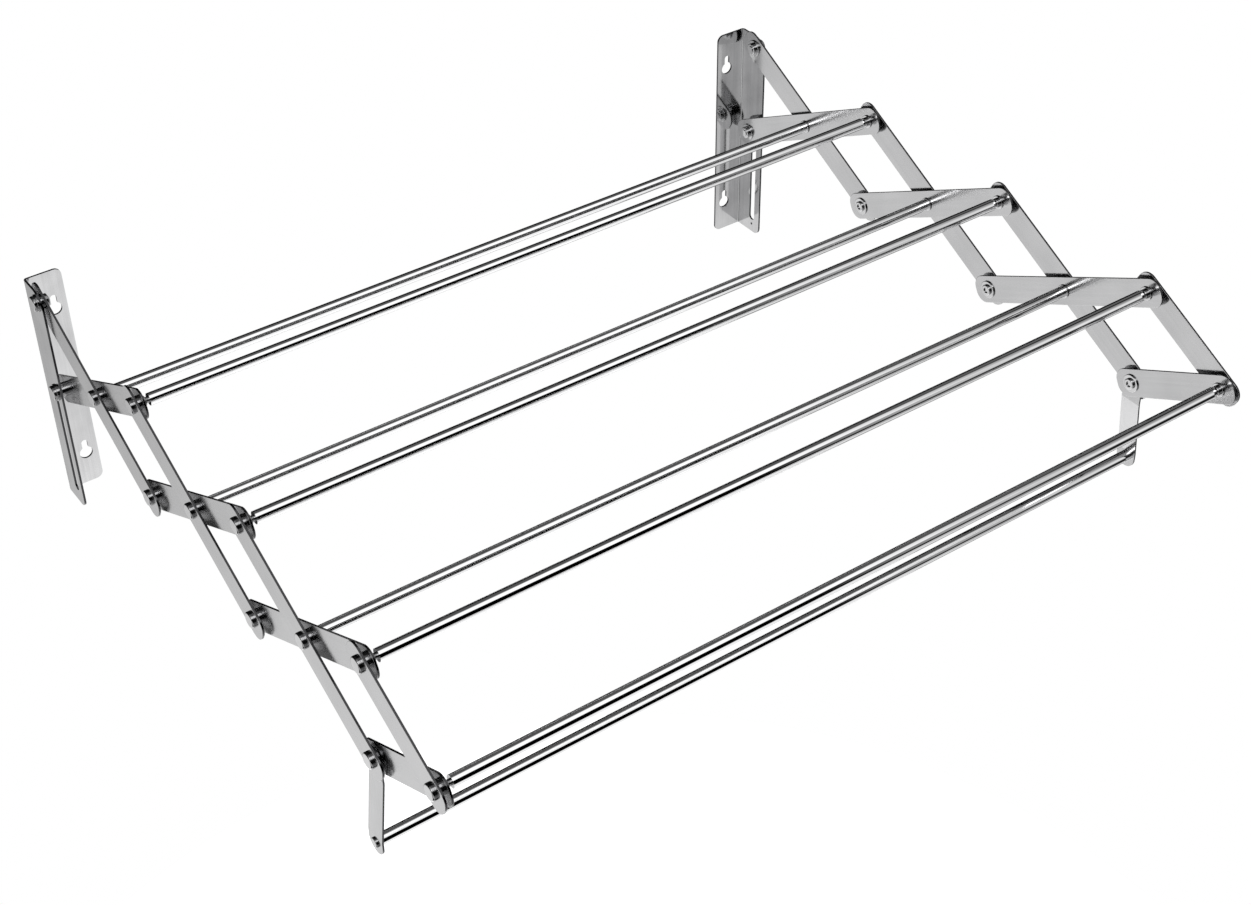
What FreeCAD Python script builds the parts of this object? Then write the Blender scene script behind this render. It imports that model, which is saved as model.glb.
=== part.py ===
"""Wall mounted drying rack that folds flat on two scissor linkages.

The wall is the plane y = 0 and the rack reaches out along -Y. X runs along the wall and Z is up.
The origin is the centre of the four keyholes. Each side has a bracket, a layer of outer arms, a gap
held open by spacers, and a layer of inner arms that carry the rods.
"""
import FreeCAD, Part
import math
import os

# Scissor linkage, in millimetres and degrees
ARM_PITCH = 156.0         # between the end pivots of a full arm
REST_ANGLE = 27.5         # slope of the arms when the rack is pulled out
STAGES = 3                # full scissor stages, before the half arms at the front
ARM_WIDTH = 20.0
ARM_TIP = 13.0            # from an end pivot to the arm's end
ARM_CORNER_R = 8.5        # rounding of the arm's ends
ARM_THICK = 1.5
ARM_EDGE = 0.25           # rounding of the arms' cut edges
INNER_FACE_X = 289.0      # inner face of the inner arms
ARM_GAP = 2.4             # between the two layers of arms
FLANGE_GAP = 1.0          # between the outer arms and the bracket

# Wall brackets
PLATE = 1.5
TOP_PIVOT_Z = 81.5
PIVOT_DEPTH = 19.0        # from the wall to the upper pivot and the slot
FLANGE_DEPTH = 28.0
WALL_FLANGE_WIDTH = 25.5
BRACKET_ABOVE_PIVOT = 8.5
BRACKET_BELOW_PIVOT = 167.0
BEND_OUTER_R = 2.5
BEND_INNER_R = 1.0
FLANGE_TOP_R = 13.0
FLANGE_BOTTOM_R = 6.0
WALL_FLANGE_CORNER_R = 5.0
SLOT_HALF_WIDTH = 3.1
SLOT_BOTTOM_Z = -71.5     # centre of the slot's lower round end
KEYHOLE_FROM_FACE = 16.8
KEYHOLE_SPACING = 121.5
KEYHOLE_R = 4.75
KEYHOLE_NECK_R = 2.2
KEYHOLE_RISE = 8.5        # from the round hole's centre to the top of the neck
DIMPLE_Z = -78.5
DIMPLE_R = 1.0
DIMPLE_DEPTH = 0.6

# Rods
ROD_R = 4.0
ROD_WALL = 0.8
PLUG_LENGTH = 16.0
PLUG_PLAY = 0.02
BOLT_REACH = 11.0         # how far a rod bolt goes into its plug

# Fasteners
PIVOT_R = 2.5             # shanks of the wall, slide, low and hanger pivots
ROD_BOLT_R = 2.0
HANGER_SCREW_R = 1.6
HEAD_R = 5.3
HEAD_HEIGHT = 2.2
HEAD_ROUND = 1.1
SCREW_HEAD_R = 3.4
SCREW_HEAD_HEIGHT = 1.4
SCREW_HEAD_ROUND = 0.7
SPACER_R = 5.0
WASHER_R = 6.4
WASHER_THICK = 1.0
WASHER_ROUND = 0.35       # rounding of a washer's rim
BRACKET_WASHER_R = 6.0    # under the heads on the brackets
ROD_WASHER_R = 4.8
RIVET_TAIL_R = 4.0
RIVET_TAIL_HEIGHT = 1.5
RIVET_DIMPLE_R = 2.1
RIVET_DIMPLE_DEPTH = 0.9
NUT_R = 4.4
NUT_HEIGHT = 2.6
NUT_ROUND = 0.6
LOCK_NUT_R = 3.4
LOCK_NUT_LENGTH = 2.6
ROD_NECK = 2.2            # bare shank between a lock nut and the rod's end
SHANK_STANDOUT = 0.6      # of a bolt's end past its nut

# Hanging rod below the front low pivots
STRIP_PITCH = 65.0
STRIP_WIDTH = 15.5
STRIP_THICK = 1.2
STRIP_OFFSET = 4.8        # how far outward each strip is set between its two bends
STRIP_BEND_DROP = 15.0    # from the upper pivot to the upper bend
STRIP_FOOT = 5.0          # from the lower bend to the hanging rod
STRIP_BEND_R = 12.0

# Clearances
FIXED_PLAY = 0.03         # radial, around a shank that doesn't turn in its hole
RUNNING_PLAY = 0.05       # radial, around a shank that turns in its hole
OPEN_PLAY = 0.10          # radial, where a pivot closes the linkage's loop
FACE_PLAY = 0.05          # axial, between faces that slide on each other

# Worked out from the above
STEP = ARM_PITCH * math.cos(math.radians(REST_ANGLE))
DROP = ARM_PITCH * math.sin(math.radians(REST_ANGLE))
INNER_ARM_X = INNER_FACE_X + ARM_THICK          # outer face of the inner arms
OUTER_ARM_IN_X = INNER_ARM_X + ARM_GAP          # inner face of the outer arms
OUTER_ARM_X = OUTER_ARM_IN_X + ARM_THICK        # outer face of the outer arms
FLANGE_IN_X = OUTER_ARM_X + FLANGE_GAP
FLANGE_X = FLANGE_IN_X + PLATE
STRIP_X = INNER_ARM_X + (ARM_GAP - STRIP_THICK) / 2      # inner face of a strip's upper end
SIDES = (("left", -1), ("right", 1))

nodes = {}


def top(i):
    """Upper pivot i as (y, z); number 0 is on the bracket."""
    return -PIVOT_DEPTH - i * STEP, TOP_PIVOT_Z


def low(i):
    """Lower pivot i; number 0 slides in the bracket's slot."""
    return -PIVOT_DEPTH - i * STEP, TOP_PIVOT_Z - DROP


def middle(i):
    """Crossing i, counted from 1."""
    return -PIVOT_DEPTH - (i - 0.5) * STEP, TOP_PIVOT_Z - DROP / 2


def hanging():
    y, z = low(STAGES)
    return y, z - STRIP_PITCH


def add(name, *solids):
    nodes.setdefault(name, []).extend(solids)


def drum(side, point, x_from, x_to, radius):
    """Solid cylinder along X between two distances from the centre plane."""
    y, z = point
    start = FreeCAD.Vector(side * x_from, y, z)
    direction = FreeCAD.Vector(side * (1 if x_to > x_from else -1), 0, 0)
    return Part.makeCylinder(radius, abs(x_to - x_from), start, direction)


def ring(side, point, x_from, x_to, radius, hole):
    body = drum(side, point, x_from, x_to, radius)
    return body.cut(drum(side, point, x_from, x_to, hole))


def washer(side, point, x_back, x_front, radius, hole):
    """Ring whose rim is rounded on the side of x_front."""
    body = round_face(side, drum(side, point, x_back, x_front, radius), x_front, WASHER_ROUND)
    return body.cut(drum(side, point, x_back, x_front, hole))


def round_face(side, shape, x_face, size):
    """Rounds the circular edge of a shape of revolution that lies in the plane x_face."""
    edges = [e for e in shape.Edges if abs(e.CenterOfMass.x - side * x_face) < 1e-6]
    return shape.makeFillet(size, [max(edges, key=lambda e: e.Length)])


def line_frame(side, start, end, x_in, thick):
    """Length from start to end, and a function that gives points along and across that line."""
    (y0, z0), (y1, z1) = start, end
    length = math.hypot(y1 - y0, z1 - z0)
    uy, uz = (y1 - y0) / length, (z1 - z0) / length
    x = min(side * x_in, side * (x_in + thick))

    def at(along, across):
        return FreeCAD.Vector(x, y0 + uy * along - uz * across, z0 + uz * along + uy * across)

    return length, at


def stadium(side, start, end, x_in, thick, width):
    """Flat bar across X whose round ends are centred on its end points."""
    length, at = line_frame(side, start, end, x_in, thick)
    r = width / 2
    outline = Part.Wire([
        Part.LineSegment(at(0, -r), at(length, -r)).toShape(),
        Part.Arc(at(length, -r), at(length + r, 0), at(length, r)).toShape(),
        Part.LineSegment(at(length, r), at(0, r)).toShape(),
        Part.Arc(at(0, r), at(-r, 0), at(0, -r)).toShape(),
    ])
    return Part.Face(outline).extrude(FreeCAD.Vector(thick, 0, 0))


def arm(side, points, holes, x_in):
    """Flat bar that reaches past its first and last point, with a hole of the given radius at each."""
    length, at = line_frame(side, points[0], points[-1], x_in, ARM_THICK)
    near, far, half = -ARM_TIP, length + ARM_TIP, ARM_WIDTH / 2
    outline = Part.makePolygon([at(near, -half), at(far, -half), at(far, half), at(near, half),
                                at(near, -half)])
    bar = Part.Face(outline).extrude(FreeCAD.Vector(ARM_THICK, 0, 0))
    bar = bar.makeFillet(ARM_CORNER_R, [e for e in bar.Edges if e.BoundBox.XLength > ARM_THICK / 2])
    bar = bar.makeFillet(ARM_EDGE, [e for e in bar.Edges if e.BoundBox.XLength < ARM_THICK / 2])
    for point, hole in zip(points, holes):
        bar = bar.cut(drum(side, point, x_in - 1, x_in + ARM_THICK + 1, hole))
    return bar


def hanger_strip(side):
    """Strip that stands between the two layers at its pivot and is set outward below the arms."""
    pivot = low(STAGES)
    y, z = pivot
    z_bend = z - STRIP_BEND_DROP
    z_foot = z - STRIP_PITCH + STRIP_FOOT
    x_foot = STRIP_X + STRIP_OFFSET
    lift = STRIP_THICK * math.tan(math.atan2(STRIP_OFFSET, z_bend - z_foot) / 2)
    z_over, z_under = z + STRIP_WIDTH, z - STRIP_PITCH - STRIP_WIDTH
    profile = [(STRIP_X, z_over), (STRIP_X, z_bend), (x_foot, z_foot), (x_foot, z_under),
               (x_foot + STRIP_THICK, z_under), (x_foot + STRIP_THICK, z_foot + lift),
               (STRIP_X + STRIP_THICK, z_bend + lift), (STRIP_X + STRIP_THICK, z_over), (STRIP_X, z_over)]
    outline = Part.makePolygon([FreeCAD.Vector(side * x, y - STRIP_WIDTH, up) for x, up in profile])
    plate = Part.Face(outline).extrude(FreeCAD.Vector(0, 2 * STRIP_WIDTH, 0))
    bends = [e for e in plate.Edges if e.BoundBox.YLength > STRIP_WIDTH
             and z_under + 1 < e.CenterOfMass.z < z_over - 1]
    plate = plate.makeFillet(STRIP_BEND_R, bends)
    blank = stadium(side, pivot, hanging(), STRIP_X - 1, STRIP_OFFSET + STRIP_THICK + 2, STRIP_WIDTH)
    strip = plate.common(blank)
    strip = strip.cut(drum(side, pivot, STRIP_X - 1, STRIP_X + STRIP_THICK + 1, PIVOT_R + RUNNING_PLAY))
    screw_hole = HANGER_SCREW_R + FIXED_PLAY
    return strip.cut(drum(side, hanging(), x_foot - 1, x_foot + STRIP_THICK + 1, screw_hole))


def headed_shank(side, point, x_face, x_end, shank_r, head_r, head_height, head_round):
    """Round headed bolt whose head sits on the plane x_face and whose shank ends at x_end."""
    head = drum(side, point, x_face, x_face + head_height, head_r)
    head = round_face(side, head, x_face + head_height, head_round)
    return head.fuse(drum(side, point, x_face, x_end, shank_r)).removeSplitter()


def bolt(side, point, x_face, x_end, shank_r):
    return headed_shank(side, point, x_face, x_end, shank_r, HEAD_R, HEAD_HEIGHT, HEAD_ROUND)


def rivet(side, point, x_face, x_tail):
    """Rivet with a round head outside and a clinched tail, dimpled in its middle, that starts at x_tail."""
    x_end = x_tail - RIVET_TAIL_HEIGHT
    body = bolt(side, point, x_face, x_end, PIVOT_R)
    tail = drum(side, point, x_tail, x_end, RIVET_TAIL_R)
    tail = round_face(side, tail, x_end, RIVET_TAIL_HEIGHT / 2)
    dimple = drum(side, point, x_end + RIVET_DIMPLE_DEPTH, x_end - 1, RIVET_DIMPLE_R)
    return body.fuse(tail).removeSplitter().cut(dimple)


def nut(side, point, x_face, radius, length, hole):
    """Round nut that sits on the plane x_face and points to the centre plane."""
    body = drum(side, point, x_face, x_face - length, radius)
    body = round_face(side, body, x_face - length, NUT_ROUND)
    return body.cut(drum(side, point, x_face + 1, x_face - length - 1, hole))


def bracket(side):
    """Bent plate: a flange with keyholes on the wall and a side flange with the pivot and the slot."""
    z_low = TOP_PIVOT_Z - BRACKET_BELOW_PIVOT
    z_high = TOP_PIVOT_Z + BRACKET_ABOVE_PIVOT
    x_free = FLANGE_X - WALL_FLANGE_WIDTH
    corners = [(x_free, 0), (FLANGE_X, 0), (FLANGE_X, -FLANGE_DEPTH), (FLANGE_IN_X, -FLANGE_DEPTH),
               (FLANGE_IN_X, -PLATE), (x_free, -PLATE), (x_free, 0)]
    outline = Part.makePolygon([FreeCAD.Vector(side * x, y, z_low) for x, y in corners])
    plate = Part.Face(outline).extrude(FreeCAD.Vector(0, 0, z_high - z_low))

    def edge_at(x, y, z):
        spot = Part.Vertex(FreeCAD.Vector(side * x, y, z))
        return min(plate.Edges, key=lambda e: e.distToShape(spot)[0])

    z_mid = (z_low + z_high) / 2
    x_mid = FLANGE_X - PLATE / 2
    rounds = [
        (BEND_OUTER_R, (FLANGE_X, 0, z_mid)),
        (BEND_INNER_R, (FLANGE_IN_X, -PLATE, z_mid)),
        (FLANGE_TOP_R, (x_mid, -FLANGE_DEPTH, z_high)),
        (FLANGE_BOTTOM_R, (x_mid, -FLANGE_DEPTH, z_low)),
        (WALL_FLANGE_CORNER_R, (x_free, -PLATE / 2, z_high)),
        (WALL_FLANGE_CORNER_R, (x_free, -PLATE / 2, z_low)),
    ]
    for radius, spot in rounds:
        plate = plate.makeFillet(radius, [edge_at(*spot)])

    x_key = FLANGE_X - KEYHOLE_FROM_FACE
    for z in (-KEYHOLE_SPACING / 2, KEYHOLE_SPACING / 2):
        plate = plate.cut(keyhole(side * x_key, z))
    plate = plate.cut(drum(side, top(0), FLANGE_IN_X - 1, FLANGE_X + 1, PIVOT_R + FIXED_PLAY))
    slot_end = (-PIVOT_DEPTH, SLOT_BOTTOM_Z)
    plate = plate.cut(stadium(side, low(0), slot_end, FLANGE_IN_X - 1, PLATE + 2, 2 * SLOT_HALF_WIDTH))
    dimple = drum(side, (-PIVOT_DEPTH, DIMPLE_Z), FLANGE_IN_X - 1, FLANGE_IN_X + DIMPLE_DEPTH, DIMPLE_R)
    return plate.cut(dimple)


def keyhole(x, z):
    """Cutter for one keyhole: a round hole for the screw's head with a narrow neck above it."""
    through = FreeCAD.Vector(0, -1, 0)
    length = PLATE + 2
    big = Part.makeCylinder(KEYHOLE_R, length, FreeCAD.Vector(x, 1, z), through)
    tip = Part.makeCylinder(KEYHOLE_NECK_R, length, FreeCAD.Vector(x, 1, z + KEYHOLE_RISE), through)
    neck = Part.makeBox(2 * KEYHOLE_NECK_R, length, KEYHOLE_RISE,
                        FreeCAD.Vector(x - KEYHOLE_NECK_R, 1 - length, z))
    return big.fuse(tip).fuse(neck).removeSplitter()


def rod(x_end):
    """Tube along X that ends at plus and minus x_end."""
    def tube(point):
        outer = drum(1, point, -x_end, x_end, ROD_R)
        return outer.cut(drum(1, point, -x_end, x_end, ROD_R - ROD_WALL))
    return tube


def plug(side, point, x_end, bolt_r, reach):
    """Threaded insert pressed into a rod's end, open far enough for its bolt."""
    body = drum(side, point, x_end, x_end - PLUG_LENGTH, ROD_R - ROD_WALL - PLUG_PLAY)
    return body.cut(drum(side, point, x_end + 1, x_end - reach - 1, bolt_r + FIXED_PLAY))


def rod_joint(stage, number, point, locked):
    """Rod between the two inner arms, bolted through both layers of arms at each end."""
    x_end = INNER_FACE_X - WASHER_THICK - (LOCK_NUT_LENGTH + ROD_NECK if locked else 0)
    add(f"drying_rod_{number}", rod(x_end)(point))
    for _, side in SIDES:
        hole = ROD_BOLT_R + FIXED_PLAY
        add(f"rod_plugs_{stage}", plug(side, point, x_end, ROD_BOLT_R, BOLT_REACH))
        add(f"rod_bolts_{stage}",
            bolt(side, point, OUTER_ARM_X + FACE_PLAY, x_end - BOLT_REACH, ROD_BOLT_R))
        add(f"rod_washers_{stage}",
            ring(side, point, INNER_ARM_X, OUTER_ARM_IN_X - FACE_PLAY, SPACER_R, hole),
            washer(side, point, INNER_FACE_X, INNER_FACE_X - WASHER_THICK, ROD_WASHER_R, hole))
        if locked:
            x_nut = INNER_FACE_X - WASHER_THICK
            add(f"rod_lock_nuts_{stage}", nut(side, point, x_nut, LOCK_NUT_R, LOCK_NUT_LENGTH, hole))


def low_pivot(name, point, washer_hole):
    """Rivet through both layers at a low pivot, with a spacer between them and a washer under its tail."""
    x_washer = INNER_FACE_X - FACE_PLAY
    for _, side in SIDES:
        add(f"{name}_rivets", rivet(side, point, OUTER_ARM_X, x_washer - WASHER_THICK))
        add(f"{name}_washers",
            ring(side, point, INNER_ARM_X + FACE_PLAY, OUTER_ARM_IN_X, SPACER_R, washer_hole),
            washer(side, point, x_washer, x_washer - WASHER_THICK, WASHER_R, washer_hole))


def outer_arm(stage, points, holes):
    for word, side in SIDES:
        add(f"{word}_outer_arm_{stage}", arm(side, points, holes, OUTER_ARM_IN_X))


def inner_arm(stage, points, holes):
    for word, side in SIDES:
        add(f"{word}_inner_arm_{stage}", arm(side, points, holes, INNER_FACE_X))


def wall_pivots():
    """Bolts that hold the first outer arms on the brackets."""
    hole = PIVOT_R + FIXED_PLAY
    x_washer = OUTER_ARM_IN_X - FACE_PLAY
    x_nut = x_washer - WASHER_THICK
    for word, side in SIDES:
        add(f"{word}_bracket", bracket(side))
        add("wall_pivot_bolts",
            bolt(side, top(0), FLANGE_X + WASHER_THICK, x_nut - NUT_HEIGHT - SHANK_STANDOUT, PIVOT_R))
        add("wall_pivot_washers",
            washer(side, top(0), FLANGE_X, FLANGE_X + WASHER_THICK, BRACKET_WASHER_R, hole),
            ring(side, top(0), OUTER_ARM_X + FACE_PLAY, FLANGE_IN_X, SPACER_R, hole),
            washer(side, top(0), x_washer, x_nut, WASHER_R, hole))
        add("wall_pivot_nuts", nut(side, top(0), x_nut, NUT_R, NUT_HEIGHT, hole))


def slide_pivots():
    """Bolts on the first inner arms that run up and down in the brackets' slots."""
    hole = PIVOT_R + FIXED_PLAY
    x_head = FLANGE_X + FACE_PLAY
    x_nut = INNER_FACE_X - WASHER_THICK
    for _, side in SIDES:
        add("slide_bolts",
            bolt(side, low(0), x_head + WASHER_THICK, x_nut - NUT_HEIGHT - SHANK_STANDOUT, PIVOT_R))
        add("slide_washers",
            washer(side, low(0), x_head, x_head + WASHER_THICK, BRACKET_WASHER_R, hole),
            ring(side, low(0), INNER_ARM_X, FLANGE_IN_X - FACE_PLAY, SPACER_R, hole),
            washer(side, low(0), INNER_FACE_X, x_nut, WASHER_R, hole))
        add("slide_nuts", nut(side, low(0), x_nut, NUT_R, NUT_HEIGHT, hole))


def arms():
    """Three full scissor stages and the half arms that close the front.

    The load runs down a zigzag of arms: outer arm 1, inner arm 2, outer arm 3, inner arm 4. The other
    arms turn about their crossings, and close the loops at open pivots at their ends towards the wall.
    """
    running = ROD_BOLT_R + RUNNING_PLAY
    fixed = ROD_BOLT_R + FIXED_PLAY
    for i in range(1, STAGES + 2):
        outer_start = ROD_BOLT_R + (RUNNING_PLAY if i % 2 else OPEN_PLAY)
        inner_start = PIVOT_R + (OPEN_PLAY if i % 2 else RUNNING_PLAY)
        if i == 1:
            outer_start = PIVOT_R + RUNNING_PLAY
            inner_start = PIVOT_R + FIXED_PLAY
        outer_points, outer_holes = [top(i - 1), middle(i)], [outer_start, running]
        inner_points, inner_holes = [low(i - 1), middle(i)], [inner_start, fixed]
        if i <= STAGES:
            outer_points.append(low(i))
            outer_holes.append(PIVOT_R + (RUNNING_PLAY if i == STAGES else FIXED_PLAY))
            inner_points.append(top(i))
            inner_holes.append(fixed)
        outer_arm(i, outer_points, outer_holes)
        inner_arm(i, inner_points, inner_holes)


def rods():
    """Rods at the crossings and at the upper pivots, numbered from the wall."""
    for i in range(1, STAGES + 1):
        rod_joint(i, 2 * i - 1, middle(i), locked=False)
        rod_joint(i, 2 * i, top(i), locked=True)
    rod_joint(STAGES + 1, 2 * STAGES + 1, middle(STAGES + 1), locked=True)


def low_pivots():
    fixed = PIVOT_R + FIXED_PLAY
    for i in range(1, STAGES):
        low_pivot(f"low_pivot_{i}", low(i), fixed)


def hanger():
    """Hanging rod on two strips that swing about rivets in the last low pivots."""
    pivot = low(STAGES)
    x_washer = INNER_FACE_X - FACE_PLAY
    x_tail = x_washer - WASHER_THICK
    x_end = STRIP_X + STRIP_OFFSET
    x_head = x_end + STRIP_THICK
    for word, side in SIDES:
        add("hanger_pivot_rivets", rivet(side, pivot, OUTER_ARM_X + FACE_PLAY, x_tail))
        add("hanger_pivot_washers", washer(side, pivot, x_washer, x_tail, WASHER_R, PIVOT_R + FIXED_PLAY))
        add(f"{word}_hanger_strip", hanger_strip(side))
        add("hanging_rod_plugs", plug(side, hanging(), x_end, HANGER_SCREW_R, BOLT_REACH))
        add("hanging_rod_screws",
            headed_shank(side, hanging(), x_head, x_end - BOLT_REACH, HANGER_SCREW_R,
                         SCREW_HEAD_R, SCREW_HEAD_HEIGHT, SCREW_HEAD_ROUND))
    add("hanging_rod", rod(x_end)(hanging()))


wall_pivots()
slide_pivots()
arms()
rods()
low_pivots()
hanger()

os.makedirs("parts", exist_ok=True)
for name, solids in nodes.items():
    shape = solids[0] if len(solids) == 1 else Part.makeCompound(solids)
    shape.exportStep(f"parts/{name}.step")
    bad = [s for s in solids if not s.isValid() or len(s.Solids) != 1 or s.Volume <= 0]
    print(name, len(solids), round(shape.Volume, 1), "BAD" if bad else "")
print(len(nodes), "nodes, step", round(STEP, 3), "drop", round(DROP, 3))
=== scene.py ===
"""Looks of the wall mounted folding drying rack: steel and chrome materials, studio and camera.

Everything is in metres in the part's own frame: the wall is y = 0, the rack reaches out along -Y, Z is up.
"""
import math

import bpy
from mathutils import Matrix, Vector


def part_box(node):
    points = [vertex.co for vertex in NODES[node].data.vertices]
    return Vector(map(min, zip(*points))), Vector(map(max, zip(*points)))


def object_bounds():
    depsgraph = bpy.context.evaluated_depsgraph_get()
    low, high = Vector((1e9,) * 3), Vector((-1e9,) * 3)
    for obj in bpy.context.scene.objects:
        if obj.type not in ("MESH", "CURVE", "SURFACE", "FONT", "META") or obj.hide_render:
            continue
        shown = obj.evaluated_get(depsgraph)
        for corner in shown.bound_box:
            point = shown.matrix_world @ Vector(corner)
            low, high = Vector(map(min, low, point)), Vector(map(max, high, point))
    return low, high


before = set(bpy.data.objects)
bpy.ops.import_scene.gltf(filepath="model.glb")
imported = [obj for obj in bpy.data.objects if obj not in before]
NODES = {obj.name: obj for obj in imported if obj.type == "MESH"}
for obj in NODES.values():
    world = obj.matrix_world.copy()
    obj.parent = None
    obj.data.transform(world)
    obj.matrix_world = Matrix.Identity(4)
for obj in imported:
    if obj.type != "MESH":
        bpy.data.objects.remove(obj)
cad_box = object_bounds()

# Camera, solved from the pivots of both linkages
CAMERA_AT = Vector((-0.6361, -1.1716, 0.8536))
CAMERA_AIM = Vector((0.0008, -0.2570, -0.0285))
CAMERA_ROLL = math.radians(-0.77)
CAMERA_LENS = 60.97
CAMERA_CLIP = (0.05, 50)
SENSOR_WIDTH = 36.0

# Floor, which glows so that it is as white as the air around the rack
FLOOR_DROP = 0.9           # from the lowest point of the rack to the floor
FLOOR_RADIUS = 0.7
FLOOR_SIDES = 96
FLOOR_COLOUR = (0.93, 0.93, 0.93, 1)
FLOOR_ROUGHNESS = 0.9
FLOOR_GLOW = 0.85

# Key light
KEY_AT = (-1.2, -1.6, 2.2)
KEY_AIM = (0, -0.25, 0)
KEY_SIZE = 1.4
KEY_POWER = 20

# Panels of the studio, as (degrees from straight up towards the front, tone). The steel shows them.
BANDS = [(-150, 0.30), (-135, 0.20), (-130, 0.0), (-64, 0.0), (-58, 0.09), (-12, 0.11), (2, 1.30),
         (44, 1.35), (50, 0.0), (106, 0.0), (113, 1.1), (158, 1.1), (172, 0.3)]
FAR_BANDS = [(-130, 0.0), (-64, 0.0), (-56, 0.14), (-24, 0.14), (-16, 0.0), (-4, 0.0), (4, 0.22),
             (28, 0.45), (56, 1.0), (76, 0.95), (90, 0.05), (108, 0.0), (128, 0.0), (146, 0.45), (165, 1.0)]
LEFT_BANDS = [(-162, 0.02), (-157, 1.0), (-118, 1.0), (-112, 0.03), (-24, 0.03), (-16, 0.95), (50, 0.95),
              (58, 0.02), (100, 0.02), (108, 0.95), (146, 0.95), (152, 0.02)]

# Where along X the studio goes over from one set of panels to the next
BANDS_REACH = (-0.1, 0.05)     # left bands to bands
FAR_REACH = (0.50, 0.62)       # bands to far bands
RIGHT_REACH = (0.66, 0.76)     # far bands to the plain right wall
RIGHT_TONE = (0.55, 0.55, 0.55, 1)

# Sweep of grey over the left bands: its tones by how far a direction goes along SWEEP_AIM
SWEEP_AIM = (-1.457, 0, -1.663)
SWEEP_REACH = (1.22, 1.64)
SWEEP_TONES = (0.52, 0.94)

# Steel, as the ends of its tone and of its roughness
ARM_TONES = ((0.50, 0.50, 0.505), (0.60, 0.60, 0.605))
ARM_ROUGHNESS = (0.10, 0.24)
BRACKET_TONES = ((0.46, 0.46, 0.465), (0.68, 0.68, 0.685))
BRACKET_ROUGHNESS = (0.05, 0.16)
ROD_TONES = ((0.74, 0.74, 0.745), (0.82, 0.82, 0.825))
ROD_ROUGHNESS = (0.02, 0.07)
FASTENER_TONES = ((0.55, 0.55, 0.555), (0.72, 0.72, 0.725))
FASTENER_ROUGHNESS = (0.05, 0.14)
PAINTED_EDGE_SHADE = (0.05, 0.05, 0.052, 1)     # painted shade on the cut edges of the sheet steel, for the gap shadows and dark reflections along them
PAINTED_RIM_SHADE = (0.2, 0.2, 0.203, 1)        # painted shade on the rims of the fasteners, for their dark reflections and contact shadows

# Grain of the steel
ARM_SLOPE = math.radians(27.5)
DRAWN = (400, 12, 400)         # stretch of the noise into lines along Y
EVEN = (300, 300, 300)
LINES = {"Scale": 1.0, "Detail": 4.0, "Roughness": 0.6}
CLOUD = {"Scale": 28.0, "Detail": 3.0, "Roughness": 0.5}
CLOUD_SHARE = 0.625            # of the cloud in the tone, the rest is the lines
TONE_SPAN = (0.3, 0.7)         # of the noise between the ends of the tone
RIPPLE_HEIGHT = 0.0004

# What tells a sheet's faces from its cut edges, where the painted edge shade goes
FACING = (0.3, 0.8)        # how much a normal points across the sheet, from an edge to a face
SIDE_FLANGE_X = 0.2943     # beyond this distance from the middle a bracket is its side flange or its bend
WALL_FLANGE_Y = -0.0026    # behind this a bracket is its wall flange or its bend


def new_material(name):
    material = bpy.data.materials.new(name)
    material.use_nodes = True
    return material, material.node_tree, material.node_tree.nodes["Principled BSDF"]


def add_node(tree, kind, **values):
    """New node, with the values put on its sockets or, where it has none of that name, on itself."""
    made = tree.nodes.new(kind)
    for key, value in values.items():
        if key in made.inputs:
            made.inputs[key].default_value = value
        else:
            setattr(made, key, value)
    return made


def put(tree, value, socket):
    """Gives a socket another one's output, or a constant."""
    if isinstance(value, bpy.types.NodeSocket):
        tree.links.new(value, socket)
    else:
        socket.default_value = value


def mix(tree, factor, first, second, kind="RGBA"):
    """The first where the factor is 0, the second where it is 1."""
    made = add_node(tree, "ShaderNodeMix", data_type=kind)
    for key, value in (("Factor", factor), ("A", first), ("B", second)):
        put(tree, value, made.inputs[key])
    return made.outputs["Result"]


def ramp(tree, source, stops):
    """Colour ramp whose stops are (position, grey or colour)."""
    made = tree.nodes.new("ShaderNodeValToRGB")
    bar = made.color_ramp
    while len(bar.elements) < len(stops):
        bar.elements.new(0.5)
    for element, (place, tone) in zip(bar.elements, stops):
        element.position = place
        element.color = (tone, tone, tone, 1) if isinstance(tone, float) else (*tone, 1)
    tree.links.new(source, made.inputs["Fac"])
    return made.outputs["Color"]


def spread(tree, source, start, end, low, high):
    """Maps start..end of a value to low..high, and holds it at those beyond."""
    made = add_node(tree, "ShaderNodeMapRange")
    for key, value in (("From Min", start), ("From Max", end), ("To Min", low), ("To Max", high)):
        made.inputs[key].default_value = value
    tree.links.new(source, made.inputs["Value"])
    return made.outputs["Result"]


def combine(tree, operation, first, second=0.0):
    """Result of a maths node. An operation on one value ignores the second."""
    made = add_node(tree, "ShaderNodeMath", operation=operation)
    put(tree, first, made.inputs[0])
    put(tree, second, made.inputs[1])
    return made.outputs["Value"]


def split(tree, source):
    """The X, Y and Z of a vector."""
    parts = add_node(tree, "ShaderNodeSeparateXYZ")
    tree.links.new(source, parts.inputs["Vector"])
    return [parts.outputs[axis] for axis in "XYZ"]


def flat_faces(tree, place, bent):
    """1 on the faces of a piece that lies across X and 0 on its edges or rims, which get painted shade.

    A bent sheet is a bracket: its flange on the wall lies across Y instead.
    """
    nx, ny, _ = split(tree, place.outputs["Normal"])
    facing = combine(tree, "ABSOLUTE", nx)
    if bent:
        x, y, _ = split(tree, place.outputs["Object"])
        on_side = combine(tree, "GREATER_THAN", combine(tree, "ABSOLUTE", x), SIDE_FLANGE_X)
        on_wall = combine(tree, "GREATER_THAN", y, WALL_FLANGE_Y)
        across_y = combine(tree, "MULTIPLY", combine(tree, "ABSOLUTE", ny), on_wall)
        facing = combine(tree, "ADD", combine(tree, "MULTIPLY", facing, on_side), across_y)
    return spread(tree, facing, *FACING, 0.0, 1.0)


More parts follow.
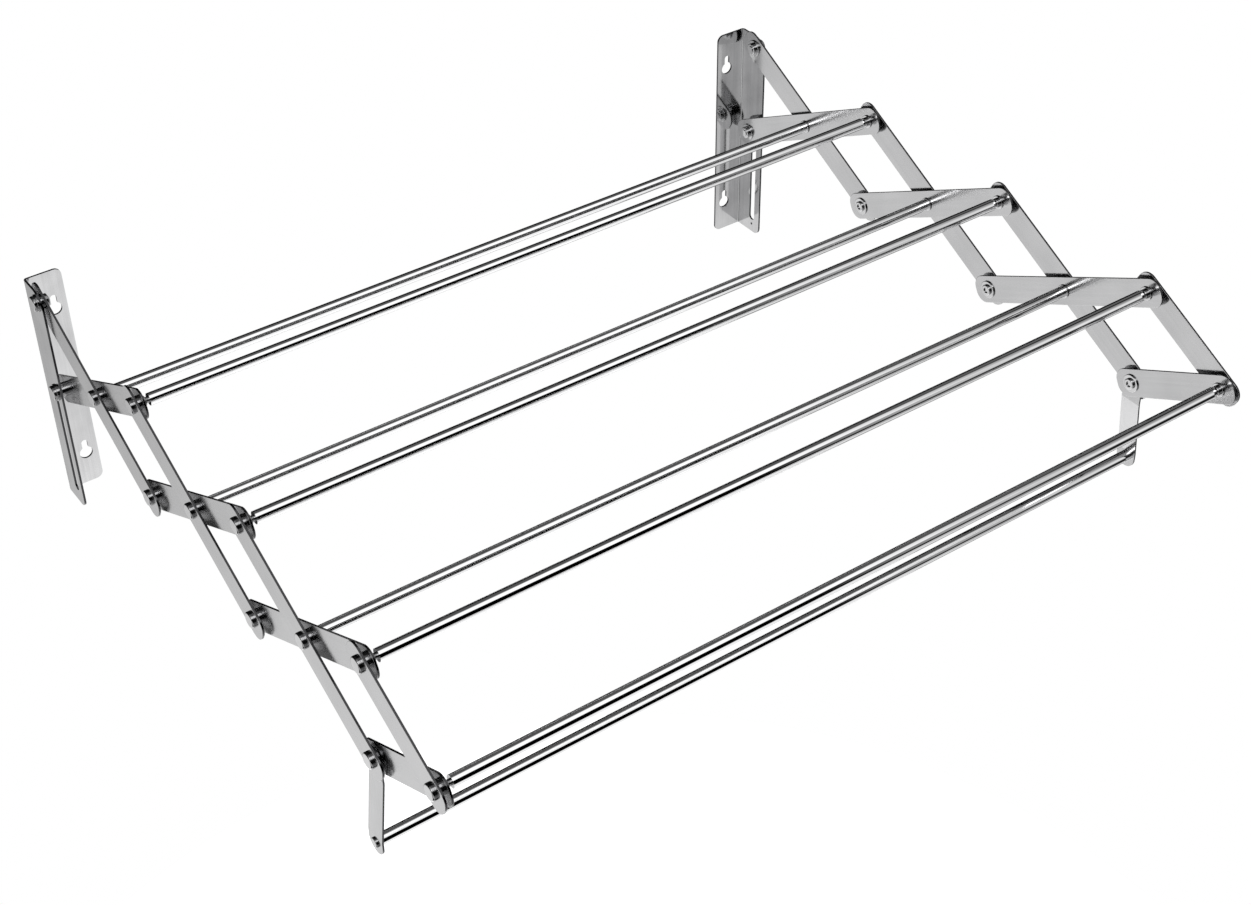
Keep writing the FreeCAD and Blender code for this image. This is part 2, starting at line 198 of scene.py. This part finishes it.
def noise(tree, source, settings):
    made = add_node(tree, "ShaderNodeTexNoise", **settings)
    tree.links.new(source, made.inputs["Vector"])
    return made.outputs["Fac"]


def steel(name, tones, roughness, turn=(0, 0, 0), stretch=DRAWN, bump=0.02, edge_shade=None, bent=False):
    """Metal with grain along the turned Y axis, soft smudges and fine waviness.

    The colour given for its edges, when one is given, is painted shade on its cut edges or rims in place of
    the tone of its faces.
    """
    material, tree, shader = new_material(name)
    place = add_node(tree, "ShaderNodeTexCoord")
    turned = add_node(tree, "ShaderNodeMapping", vector_type="TEXTURE", Rotation=turn)
    tree.links.new(place.outputs["Object"], turned.inputs["Vector"])
    streaked = add_node(tree, "ShaderNodeMapping", Scale=stretch)
    tree.links.new(turned.outputs["Vector"], streaked.inputs["Vector"])
    lines = noise(tree, streaked.outputs["Vector"], LINES)
    cloud = noise(tree, turned.outputs["Vector"], CLOUD)
    both = mix(tree, CLOUD_SHARE, lines, cloud, "FLOAT")

    tone = ramp(tree, both, list(zip(TONE_SPAN, tones)))
    # Painted shade: the cut edges and rims take the dark edge colour instead of the steel's tone
    if edge_shade:
        tone = mix(tree, flat_faces(tree, place, bent), edge_shade, tone)
    tree.links.new(tone, shader.inputs["Base Color"])
    tree.links.new(spread(tree, both, 0.0, 1.0, *roughness), shader.inputs["Roughness"])
    rise = add_node(tree, "ShaderNodeBump", Strength=bump, Distance=RIPPLE_HEIGHT)
    tree.links.new(lines, rise.inputs["Height"])
    tree.links.new(rise.outputs["Normal"], shader.inputs["Normal"])
    shader.inputs["Metallic"].default_value = 1.0
    return material


def strip_slope():
    """Slope of a hanger strip in the YZ plane, from the box of its node."""
    low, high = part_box("left_hanger_strip")
    return math.atan2(high.z - low.z, high.y - low.y)


def dress():
    """Puts one material on the whole of each CAD node."""
    arm = {"tones": ARM_TONES, "roughness": ARM_ROUGHNESS, "edge_shade": PAINTED_EDGE_SHADE}
    outer = steel("outer_arm_steel", turn=(ARM_SLOPE, 0, 0), **arm)
    inner = steel("inner_arm_steel", turn=(-ARM_SLOPE, 0, 0), **arm)
    upright = steel("strip_steel", turn=(strip_slope(), 0, 0), **arm)
    plate = steel("bracket_steel", BRACKET_TONES, BRACKET_ROUGHNESS, turn=(math.pi / 2, 0, 0),
                  edge_shade=PAINTED_EDGE_SHADE, bent=True)
    chrome = steel("rod_chrome", ROD_TONES, ROD_ROUGHNESS, turn=(0, 0, math.pi / 2), bump=0.005)
    fastener = steel("fastener_steel", FASTENER_TONES, FASTENER_ROUGHNESS, stretch=EVEN, bump=0.01,
                     edge_shade=PAINTED_RIM_SHADE)
    for name, node in NODES.items():
        if "outer_arm" in name:
            material = outer
        elif "inner_arm" in name:
            material = inner
        elif "strip" in name:
            material = upright
        elif "bracket" in name:
            material = plate
        elif name.startswith("drying_rod") or name == "hanging_rod":
            material = chrome
        else:
            material = fastener
        node.data.materials.clear()
        node.data.materials.append(material)


def floor():
    low, high = cad_box
    bpy.ops.mesh.primitive_circle_add(vertices=FLOOR_SIDES, radius=FLOOR_RADIUS, fill_type="NGON",
                                      location=(0, (low[1] + high[1]) / 2, low[2] - FLOOR_DROP))
    plane = bpy.context.object
    plane.name = "floor"
    material, _, shader = new_material("floor_pale")
    shader.inputs["Base Color"].default_value = FLOOR_COLOUR
    shader.inputs["Roughness"].default_value = FLOOR_ROUGHNESS
    shader.inputs["Specular IOR Level"].default_value = 0.0
    shader.inputs["Emission Color"].default_value = (1, 1, 1, 1)
    shader.inputs["Emission Strength"].default_value = FLOOR_GLOW
    plane.data.materials.append(material)


def bands(tree, y, z, stops):
    """Tones by the angle from straight up, in degrees towards the front."""
    forward = combine(tree, "MULTIPLY", y, -1.0)
    angle = combine(tree, "ARCTAN2", forward, z)
    turn = spread(tree, angle, -math.pi, math.pi, 0.0, 1.0)
    return ramp(tree, turn, [((degrees + 180) / 360, tone) for degrees, tone in stops])


def left_of_studio(tree, direction, y, z):
    """A grey sweep behind the rack, darkest beside its left bracket, between dark panels."""
    aim = add_node(tree, "ShaderNodeVectorMath", operation="DOT_PRODUCT")
    aim.inputs[1].default_value = SWEEP_AIM
    tree.links.new(direction, aim.inputs[0])
    sweep = spread(tree, aim.outputs["Value"], *SWEEP_REACH, *SWEEP_TONES)
    return combine(tree, "MULTIPLY", sweep, bands(tree, y, z, LEFT_BANDS))


def studio():
    """A light tent with dark and light panels for the steel to show. The camera itself sees it plain white."""
    world = bpy.data.worlds.new("studio")
    bpy.context.scene.world = world
    world.use_nodes = True
    tree = world.node_tree
    direction = add_node(tree, "ShaderNodeTexCoord").outputs["Generated"]
    x, y, z = split(tree, direction)

    seen = left_of_studio(tree, direction, y, z)
    near, far = bands(tree, y, z, BANDS), bands(tree, y, z, FAR_BANDS)
    for reach, further in ((BANDS_REACH, near), (FAR_REACH, far), (RIGHT_REACH, RIGHT_TONE)):
        seen = mix(tree, spread(tree, x, *reach, 0.0, 1.0), seen, further)
    by_camera = add_node(tree, "ShaderNodeLightPath").outputs["Is Camera Ray"]
    background = tree.nodes["Background"]
    tree.links.new(mix(tree, by_camera, seen, (1, 1, 1, 1)), background.inputs["Color"])
    background.inputs["Strength"].default_value = 1.0


def key_light():
    light = bpy.data.lights.new("key", "AREA")
    light.shape = "DISK"
    light.size = KEY_SIZE
    light.energy = KEY_POWER
    lamp = bpy.data.objects.new("key", light)
    bpy.context.scene.collection.objects.link(lamp)
    lamp.location = KEY_AT
    lamp.rotation_euler = (Vector(KEY_AIM) - Vector(KEY_AT)).to_track_quat("-Z", "Y").to_euler()


def camera():
    data = bpy.data.cameras.new("camera")
    data.lens = CAMERA_LENS
    data.sensor_width = SENSOR_WIDTH
    data.clip_start, data.clip_end = CAMERA_CLIP
    seen = bpy.data.objects.new("camera", data)
    bpy.context.scene.collection.objects.link(seen)
    aim = (CAMERA_AIM - CAMERA_AT).to_track_quat("-Z", "Y").to_matrix().to_4x4()
    seen.matrix_world = Matrix.Translation(CAMERA_AT) @ aim @ Matrix.Rotation(CAMERA_ROLL, 4, "Z")
    bpy.context.scene.camera = seen


camera()
dress()
floor()
studio()
key_light()
bpy.context.scene.view_settings.view_transform = "Standard"
